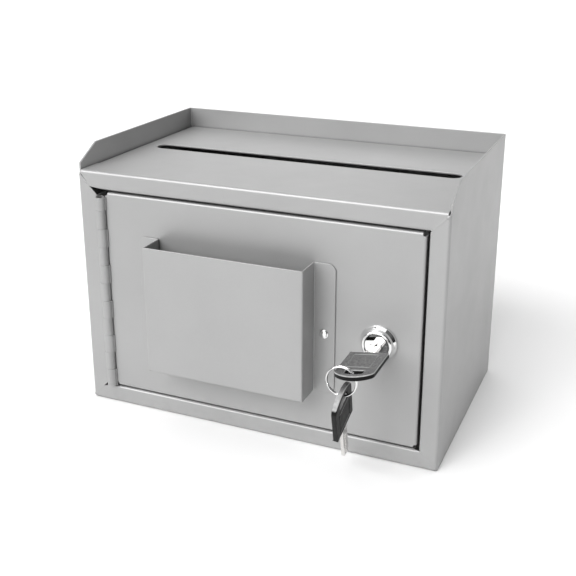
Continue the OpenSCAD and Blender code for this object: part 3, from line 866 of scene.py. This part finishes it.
def pocket_plan():
    """Plan of the tray: flange, side, front, side, flange. Its ends follow the rounded corners."""
    low, high = pocket_low, pocket_high
    x0, x1 = low.x + POCKET_FLANGE, high.x - POCKET_FLANGE
    face_y = front_y - POCKET_SHEET
    r = POCKET_BEND
    turns = (8, 20, 33, 46, 60, 75, 90)
    curve = [POCKET_CORNER * (1 - math.cos(math.radians(a))) for a in turns]
    left = [(low.x + c, face_y) for c in curve]
    right = [(high.x - c, face_y) for c in reversed(curve)]
    path = [left[-1], (x0, face_y), (x0, low.y), (x1, low.y), (x1, face_y), right[0]]
    return left[:-1] + fillet(path, [r * 0.5, r, r, r * 0.5]) + right[1:]


def leaflet_pocket():
    """Open-topped tray with a flange at each side, bent up from one sheet."""
    low, high = pocket_low, pocket_high
    r = POCKET_BEND
    columns = []
    for x, y in pocket_plan():
        at_front = y < low.y + TINY
        columns.append(level(x, y, [low.z + r, high.z] if at_front else pocket_ends(x)))
    shape = Shape()
    shape.ribbon(columns, upright, flip=True)
    width = [low.x + POCKET_FLANGE + r, high.x - POCKET_FLANGE - r]
    bend = arc((low.y + r, low.z + r), r, 180, 270)
    floor = [(low.y, low.z + r)] + bend[1:] + [(front_y - 0.1, low.z)]
    shape.ribbon([level(y, z, width) for y, z in floor], across, flip=True)
    sheet("pocket_tray", shape, "pocket_paint", "door", ["leaflet_pocket"], POCKET_SHEET, 0.26)


def lathe(profile, centre, steps):
    """Rows of points for a solid turned about a line along Y; the profile is (radius, y)."""
    rows = []
    for r, y in profile:
        rows.append([(centre[0] + r * math.cos(a), y, centre[1] + r * math.sin(a)) for a in turns(steps)])
    return rows


def pocket_rivets():
    """Dome heads with a small flat, and set tails inside the door."""
    head_y, seat_y, tail_y = rivet_low.y, front_y - POCKET_SHEET, rivet_high.y
    inside_y = front_y + SHEET
    rise = seat_y - head_y
    profile = [(0.05, head_y), (0.9, head_y + 0.04)]
    for degrees in range(20, 91, 10):
        a = math.radians(degrees)
        profile.append((RIVET_HEAD_R * math.sin(a), seat_y - rise * math.cos(a) * 0.97))
    profile += [(RIVET_HEAD_R - 0.1, seat_y), (RIVET_SHANK_R, seat_y), (RIVET_SHANK_R, inside_y)]
    profile += [(RIVET_TAIL_R, inside_y), (RIVET_TAIL_R + 0.1, inside_y + 0.6)]
    profile += [(RIVET_TAIL_R - 0.5, tail_y - 0.15), (0.9, tail_y), (0.05, tail_y)]
    shape = Shape()
    for centre in rivet_centres():
        rows = lathe(profile, centre, 40)
        shape.grid(rows)
        shape.cap(rows[0])
        shape.cap(rows[-1], flip=True)
    add("rivets", shape, "rivet_metal", "door", ["pocket_rivets"])


# --- lock ---


LOCK_STEPS = 96
# Collar, from its skirt on the door to its mouth: radius, and distance in front of the door
COLLAR = (
    (11.35, 0.0), (11.7, 0.12), (11.75, 0.45), (11.68, 0.85), (11.3, 1.5), (10.85, 2.15), (10.35, 2.9),
    (9.95, 3.6), (9.65, 4.3), (9.42, 4.85), (9.12, 5.25), (8.75, 5.45), (8.4, 5.5), (8.05, 5.42),
    (7.8, 5.2), (7.62, 4.9), (7.5, 4.7), (7.28, 4.66), (7.27, 3.3), (6.1, 3.2), (6.06, 3.0),
)
BARREL_LEN = 14.1
# Bore, from the back, with the recess that the wafers drop into: radius, and depth behind the face
BORE = (
    (6.3, BARREL_LEN), (6.06, BARREL_LEN - 0.2), (6.06, 11.2), (7.2, 11.0), (7.2, -2.4), (6.06, -2.6),
)
THREAD_R, THREAD_PITCH, THREAD_DEEP, BARREL_HALF = 9.5, 1.0, 0.42, 8.0
THREAD_ROWS = 8
STOP_LUG = (142, 158)
NUT_BORE, NUT_CHAMFER = 9.55, 0.9


def threaded_rows():
    """Rows of points for the threaded barrel with its two flats, from the door to its end."""
    rows = []
    count = int(BARREL_LEN / THREAD_PITCH * THREAD_ROWS)
    for i in range(count + 1):
        y = BARREL_LEN * i / count
        fade = min(1.0, (BARREL_LEN - y) / 0.8)
        row = []
        for k, a in enumerate(turns(LOCK_STEPS)):
            phase = (y / THREAD_PITCH - k / LOCK_STEPS) % 1.0
            r = THREAD_R - THREAD_DEEP * abs(2 * phase - 1) - 0.5 * (1 - fade)
            z = max(-BARREL_HALF, min(BARREL_HALF, r * math.sin(a)))
            row.append((lock_x + r * math.cos(a), front_y + y, lock_z + z))
        rows.append(row)
    return rows


def lock_shell():
    """Chromed collar with a domed skirt, a threaded barrel with two flats, and the stop's lug."""
    rows = lathe([(r, front_y - out) for r, out in reversed(COLLAR)], lock_centre, LOCK_STEPS)
    rows += threaded_rows()
    rows += lathe([(r, front_y + y) for r, y in BORE], lock_centre, LOCK_STEPS)
    rows.reverse()
    shape = Shape()
    shape.grid(rows, closed_rows=True)
    lug = arc(lock_centre, 8.5, *STOP_LUG, 4) + arc(lock_centre, 6.95, *reversed(STOP_LUG), 4)
    near = [(x, front_y + BARREL_LEN - 0.3, z) for x, z in lug]
    far = [(x, front_y + 15.1, z) for x, z in lug]
    shape.grid([near, far])
    shape.cap(near)
    shape.cap(far, flip=True)
    add("lock_shell", shape, "lock_chrome", "door", ["lock_body"])


def lock_nut():
    """Hexagon nut with turned chamfers on both faces."""
    flat_half = (nut_high.z - nut_low.z) / 2
    corner_r = flat_half / math.cos(math.pi / 6)
    y0, y1 = nut_low.y, nut_high.y
    profile = [(NUT_BORE, y0), (flat_half * 0.97, y0), (corner_r, y0 + NUT_CHAMFER)]
    profile += [(corner_r, y1 - NUT_CHAMFER), (flat_half * 0.97, y1)]
    profile += [(NUT_BORE + 0.4, y1), (NUT_BORE, y1 - 0.4)]
    rows = []
    for radius, y in profile:
        row = []
        for a in turns(LOCK_STEPS):
            side = (a + math.pi / 6) % (math.pi / 3) - math.pi / 6
            r = min(radius, flat_half / math.cos(side - math.copysign(math.pi / 6, side)))
            row.append((lock_x + r * math.cos(a), y, lock_z + r * math.sin(a)))
        rows.append(row)
    shape = Shape()
    shape.grid(rows, closed_rows=True)
    made = add("nut", shape, "zinc_plate", "door", ["lock_nut"])
    soften(made, 0.15, angle=math.radians(25))


def plate(name, outline, hole, thickness, edge, place, slot, body, replaces, segments=2):
    """A flat stamped or moulded plate, drawn in its own X and Y with its middle at height 0."""
    shape = Shape()
    shape.flat(outline, [hole], at_height(thickness / 2))
    sheet(name, shape, slot, body, replaces, thickness, edge, place, segments)


def stamped(name, node, body, outline, hole, edge, centre, roll=0.0):
    """A zinc-plated plate that faces the front, in its CAD node's depth, rolled about its middle."""
    low, high = box_mm(node)
    middle = (centre[0], (low.y + high.y) / 2, centre[1])
    rolled = Matrix.Translation(middle) @ Matrix.Rotation(-roll, 4, "Y")
    place = rolled @ Matrix.Rotation(math.pi / 2, 4, "X")
    plate(name, outline, hole, high.y - low.y, edge, place, "zinc_plate", body, [node])


def drive_hole():
    """The square hole that fits the plug's end."""
    half = 3.5
    return rounded([(-half, -half), (half, -half), (half, half), (-half, half)], 0.25, 3)


def lock_cam():
    wide, tip, reach = 7.0, 5.5, 30.5
    outline = arc((0, 0), wide, 0, 180, 16) + arc((0, -reach), tip, 180, 360, 16)
    stamped("cam_bar", "lock_cam", "plug", outline, drive_hole(), 0.25, lock_centre, KEY_ROLL)


def stop_disc():
    """Notched disc; the lug on the lock's barrel stops it at both ends of its notch."""
    radius, notch, start, end = 8.6, 6.4, 49, 161
    outline = arc((0, 0), radius, end, start + 360, 40) + arc((0, 0), notch, start, end, 20)
    stamped("stop_disc", "stop_washer", "plug", outline, drive_hole(), 0.15, lock_centre, KEY_ROLL)


def flat_washer(name, node, inner, body):
    low, high = box_mm(node)
    outline, hole = circle((0, 0), (high.x - low.x) / 2, 64), circle((0, 0), inner, 64)
    centre = ((low.x + high.x) / 2, (low.z + high.z) / 2)
    stamped(name, node, body, outline, hole, 0.15, centre)


def cad_finish():
    """Materials for the CAD nodes that stay as they are."""
    finishes = {
        "hinge_pin": "pin_steel", "lock_plug": "lock_chrome", "cam_screw": "zinc_plate",
        "lock_wafers": "wafer_brass",
    }
    for node, slot in finishes.items():
        made = frame["nodes"][node]
        made.data.materials.clear()
        made.data.materials.append(materials[slot])


# --- keys ---

BOW_W, BOW_LEN, BOW_SIDE, BOW_T = 24.2, 34.0, 28.2, 3.2
BOW_FOOT_R, BOW_SHOULDER = 1.2, 0.9
HOLE_EDGE, HOLE_HALF, HOLE_R, BOW_STRIP = 25.3, 5.8, 0.8, 3.6
BORDER_X, BORDER_Y0, BORDER_Y1 = BOW_W / 2 - 4.4, 3.6, 21.6
BORDER_W, BORDER_HIGH = 0.7, 0.22
BLADE_W, BLADE_LEN, BLADE_T = 6.6, 30.0, 2.0
TANG_HALF, TANG_LEN, TIP = 2.5, 12.5, 1.8
CUTS, FIRST_CUT, CUT_PITCH = (0.9, 0.5, 1.1, 0.6, 0.9), -14.5, 2.7
GROOVE_HALF, GROOVE_DEEP = 0.75, 0.45
SPARE_TILT = math.radians(27)
SPARE_LEAN = math.radians(7)
SPARE_SIDE = 0.8
RING_WIRE, RING_SHARE, RING_STEPS = 0.52, 0.985, 150
SPRING_R, SPRING_WIRE, SPRING_HALF, SPRING_TURNS, SPRING_STEPS = 0.6, 0.14, 1.1, 4, 60


def bow_arc_radius():
    half, rise = BOW_W / 2, BOW_LEN - BOW_SIDE
    return (half * half + rise * rise) / (2 * rise)


def curved_end(radius, half, steps=14):
    """Points along the bow's curved end, from right to left, out to a half width."""
    centre_y = BOW_LEN - bow_arc_radius()
    reach = math.degrees(math.asin(half / radius))
    return arc((0, centre_y), radius, 90 - reach, 90 + reach, steps)


def key_bow(name, place, body, node):
    """Plastic bow with a curved end, a hole that follows it, and a border on both faces."""
    half, foot = BOW_W / 2, BOW_FOOT_R
    radius = bow_arc_radius()
    outline = arc((half - foot, foot), foot, 270, 360, 4)
    outline.append((half, BOW_SIDE - BOW_SHOULDER))
    outline += curved_end(radius, half - BOW_SHOULDER)
    outline.append((-half, BOW_SIDE - BOW_SHOULDER))
    outline += arc((foot - half, foot), foot, 180, 270, 4)
    hole = arc((HOLE_R - HOLE_HALF, HOLE_EDGE + HOLE_R), HOLE_R, 180, 270, 4)
    hole += arc((HOLE_HALF - HOLE_R, HOLE_EDGE + HOLE_R), HOLE_R, 270, 360, 4)
    hole += curved_end(radius - BOW_STRIP, HOLE_HALF - 0.5, 8)
    plate(name, outline, hole, BOW_T, 0.8, place, "bow_plastic", body, [node], 4)
    border(name + "_border", place, body)


def grip_outline(inset, radius):
    """The grip panel's outline, drawn in by an inset."""
    x, y0, y1 = BORDER_X, BORDER_Y0, BORDER_Y1
    low = [(inset - x, y0 + inset), (x - inset, y0 + inset)]
    return rounded(low + [(x - inset, y1 - inset), (inset - x, y1 - inset)], radius)


def border(name, place, body):
    """A raised line round the grip panel, on both faces of the bow."""
    shape = Shape()
    outer, inner = grip_outline(0, 1.4), grip_outline(BORDER_W, 0.8)
    for sign in (-1, 1):
        foot, crest = sign * (BOW_T / 2 - 0.2), sign * (BOW_T / 2 + BORDER_HIGH)
        loops = []
        for loop, z in ((outer, foot), (outer, crest), (inner, crest), (inner, foot)):
            loops.append([(px, py, z) for px, py in loop])
        shape.grid(loops, closed_rows=True)
    soften(add(name, shape, "bow_plastic", body, place=place), 0.2)


def blade_outline():
    """The flat blade with its tang, cuts along one edge and a pointed tip."""
    half, tang, end = BLADE_W / 2, TANG_HALF, -BLADE_LEN
    outline = [(half, 0), (tang, 0), (tang, TANG_LEN), (-tang, TANG_LEN), (-tang, 0), (-half, 0)]
    outline += [(-half, TIP + end), (-TIP, end), (TIP, end), (half, TIP + end)]
    for i, deep in reversed(list(enumerate(CUTS))):
        y = FIRST_CUT - CUT_PITCH * i
        outline += [(half, y - deep), (half - deep, y), (half, y + deep)]
    return outline


def key_blade(name, place, body, node):
    """Nickelled blade with a milled groove in each face."""
    outline = blade_outline()
    half, floor = BLADE_T / 2, BLADE_T / 2 - GROOVE_DEEP
    shape = Shape()
    for sign in (-1, 1):
        mid = -0.4 * sign
        groove = arc((mid, -9), GROOVE_HALF, 0, 180, 8)
        groove += arc((mid, 1.6 - BLADE_LEN), GROOVE_HALF, 180, 360, 8)
        shape.flat(outline, [groove], at_height(sign * half))
        shape.flat(groove, [], at_height(sign * floor))
        shape.grid([[(x, y, sign * high) for x, y in groove] for high in (half, floor)])
    shape.grid([[(x, y, z) for x, y in outline] for z in (-half, half)])
    soften(add(name, shape, "key_nickel", body, [node], place), 0.12)


def joint_point(name):
    """A joint's place in millimetres."""
    found = next(j for j in frame["joints"] if j["name"] == name)
    return Vector(found["pos_m"]) / MM


def key_place():
    """Puts a flat key into the lock, rolled with the plug."""
    blade_end_y = box_mm("key_bow")[1].y
    rolled = Matrix.Translation((lock_x, blade_end_y, lock_z)) @ Matrix.Rotation(-KEY_ROLL, 4, "Y")
    return rolled @ Matrix.Rotation(math.pi, 4, "Z")


def spare_place():
    """Hangs a flat key from the spare's pivot: leant sideways, tilted in its plane, edge to the front."""
    hook = joint_point("spare_swing") + Vector((SPARE_SIDE, 0, 0))
    leant = Matrix.Translation(hook) @ Matrix.Rotation(SPARE_LEAN, 4, "Y")
    tilted = leant @ Matrix.Rotation(math.pi / 2 + SPARE_TILT, 4, "X")
    return tilted @ Matrix.Rotation(math.pi / 2, 4, "Y") @ Matrix.Translation((-2, -28, 0))


def tube(points, radius, sides=12):
    """Rows of points round a line of points."""
    rows = []
    normal = None
    for i, point in enumerate(points):
        before, after = points[max(i - 1, 0)], points[min(i + 1, len(points) - 1)]
        along = (after - before).normalized()
        if normal is None:
            normal = along.orthogonal().normalized()
        normal = (normal - along * normal.dot(along)).normalized()
        other = along.cross(normal)
        row = []
        for a in turns(sides):
            row.append(point + (normal * math.cos(a) + other * math.sin(a)) * radius)
        rows.append(row)
    return rows


def wire(shape, points, radius, sides=12):
    """A round wire along a line of points, closed at both ends."""
    rows = tube(points, radius, sides)
    shape.grid(rows)
    shape.cap(rows[0], flip=True)
    shape.cap(rows[-1])


def split_ring():
    """Two turns of wire side by side, stepping over near one place."""
    centre = (ring_low + ring_high) / 2
    radius = (ring_high.x - ring_low.x) / 2 - 0.55
    start, middle, step_half = math.radians(200), 2 * math.pi, math.radians(24)
    points = []
    for i in range(RING_STEPS + 1):
        turn = 4 * math.pi * RING_SHARE * i / RING_STEPS
        t = min(1.0, max(0.0, (turn - middle + step_half) / (2 * step_half)))
        shift = lerp(-RING_WIRE, RING_WIRE, ease(t))
        a = start + turn
        points.append(centre + Vector((radius * math.cos(a), shift, radius * math.sin(a))))
    shape = Shape()
    wire(shape, points, RING_WIRE)
    soften(add("split_ring", shape, "ring_steel", "ring", ["key_ring"]), 0.08)


def wafer_springs():
    """Five small coil springs inside the plug."""
    low, high = box_mm("wafer_springs")
    centre = (low + high) / 2
    pitch = (high.y - low.y - 1.5) / 4
    along = Vector((math.cos(KEY_ROLL), 0, math.sin(KEY_ROLL)))
    other = Vector((-math.sin(KEY_ROLL), 0, math.cos(KEY_ROLL)))
    deep = Vector((0, 1, 0))
    shape = Shape()
    for i in range(5):
        middle = centre + Vector((0, (i - 2) * pitch, 0))
        points = []
        for k in range(SPRING_STEPS + 1):
            a = 2 * math.pi * SPRING_TURNS * k / SPRING_STEPS
            lift = lerp(-SPRING_HALF, SPRING_HALF, k / SPRING_STEPS)
            points.append(middle + along * lift + (other * math.cos(a) + deep * math.sin(a)) * SPRING_R)
        wire(shape, points, SPRING_WIRE, 6)
    add("coil_springs", shape, "spring_steel", "plug", ["wafer_springs"])


# --- stage ---

# Direction towards each light, its strength, and its spread in degrees
SUNS = (
    ("front_left", (-0.55, -0.65, 0.5), 2.2, 45),
    ("front_high", (-0.1, -0.8, 0.75), 1.5, 28),
    ("front_low", (0.12, -0.97, 0.2), 0.5, 40),
    ("right_back", (0.65, 0.65, 0.4), 0.75, 50),
    ("back", (0.0, 0.8, 0.6), 0.5, 50),
    ("back_left", (-0.6, 0.7, 0.5), 0.58, 50),
    ("above", (0.0, 0.0, 1.0), 0.75, 50),
)
# The studio's tone at each height, from 0 straight down to 1 straight up
STUDIO = ((0.0, 0.3), (0.47, 0.25), (0.53, 0.1), (0.62, 0.25), (0.8, 0.9), (1.0, 1.0))
STUDIO_STRENGTH = 0.15


def sun(name, towards, strength, spread):
    """A large soft light, far off in a direction; its spread is an angle in degrees."""
    data = bpy.data.lights.new(name, "SUN")
    data.energy = strength
    data.angle = math.radians(spread)
    made = bpy.data.objects.new(name, data)
    made.rotation_euler = Vector(towards).to_track_quat("Z", "Y").to_euler()
    bpy.context.scene.collection.objects.link(made)
    return made


def stage():
    """A pale floor just under the box."""
    bpy.ops.mesh.primitive_plane_add(size=8, location=(0, 0, -0.0002))
    floor = bpy.context.object
    floor.name = "floor"
    n = Finish("floor_white")
    tone = n.mottle(3, 2, grey(0.90), grey(0.92))
    rough = n.spread(n.noise(20, 2), 0.3, 0.7, 0.75, 0.85)
    floor.data.materials.append(n.done(tone, rough, Specular_IOR_Level=0.2))


def studio_world():
    """White backdrop for the camera. All else is lit by a dim studio: grey below, a dark band just
    above the horizon, brightest overhead."""
    world = bpy.data.worlds.new("studio")
    bpy.context.scene.world = world
    world.use_nodes = True
    n = Nodes(world.node_tree)
    direction = n.add("TexCoord", {}).outputs["Generated"]
    height = n.spread(n.add("SeparateXYZ", {0: direction}).outputs["Z"], -1, 1, 0, 1)
    studio = world.node_tree.nodes["Background"]
    n.feed(studio.inputs["Color"], n.ramp(height, *((place, grey(tone)) for place, tone in STUDIO)))
    n.feed(studio.inputs["Strength"], STUDIO_STRENGTH)
    white = n.add("Background", {"Color": grey(1)})
    to_camera = n.add("LightPath", {}).outputs["Is Camera Ray"]
    mix = n.add("MixShader", {"Fac": to_camera, 1: studio.outputs[0], 2: white.outputs[0]})
    n.feed(world.node_tree.nodes["World Output"].inputs["Surface"], mix.outputs[0])


def camera():
    """Looks down at the box from the front right, as the photo does."""
    data = bpy.data.cameras.new("camera")
    data.lens = 58.32
    data.sensor_width = 36
    data.shift_y = -0.08
    made = bpy.data.objects.new("camera", data)
    made.location = (0.2353, -0.5654, 0.3172)
    pitch, yaw = math.radians(18.84), math.radians(23.22)
    made.rotation_euler = (math.pi / 2 - pitch, 0, yaw)
    bpy.context.scene.collection.objects.link(made)
    bpy.context.scene.camera = made


camera()
side_wrap()
bottom_panel()
top_panel()
weld_beads()
hinge_leaf("hinge_leaf_case", "hinge_frame_leaf", "case", -1, 1)
hinge_leaf("hinge_leaf_door", "hinge_door_leaf", "door", 1, 0)
door_panel()
leaflet_pocket()
pocket_rivets()
lock_shell()
lock_nut()
flat_washer("washer", "lock_washer", 9.6, "door")
flat_washer("cam_flat_washer", "cam_washer", 2.2, "plug")
lock_cam()
stop_disc()
cad_finish()
key_bow("bow", key_place(), "key", "key_bow")
key_blade("blade", key_place(), "key", "key_blade")
key_bow("spare_bow", spare_place(), "spare_key", "spare_key_bow")
key_blade("spare_blade", spare_place(), "spare_key", "spare_key_blade")
split_ring()
wafer_springs()
stage()
studio_world()
for light in SUNS:
    sun(*light)
# Adds highlights only: it gives no diffuse light
sun("glint", (-0.37, -0.45, 0.8), 0.8, 24).visible_diffuse = False
bpy.context.scene.view_settings.view_transform = "Standard"
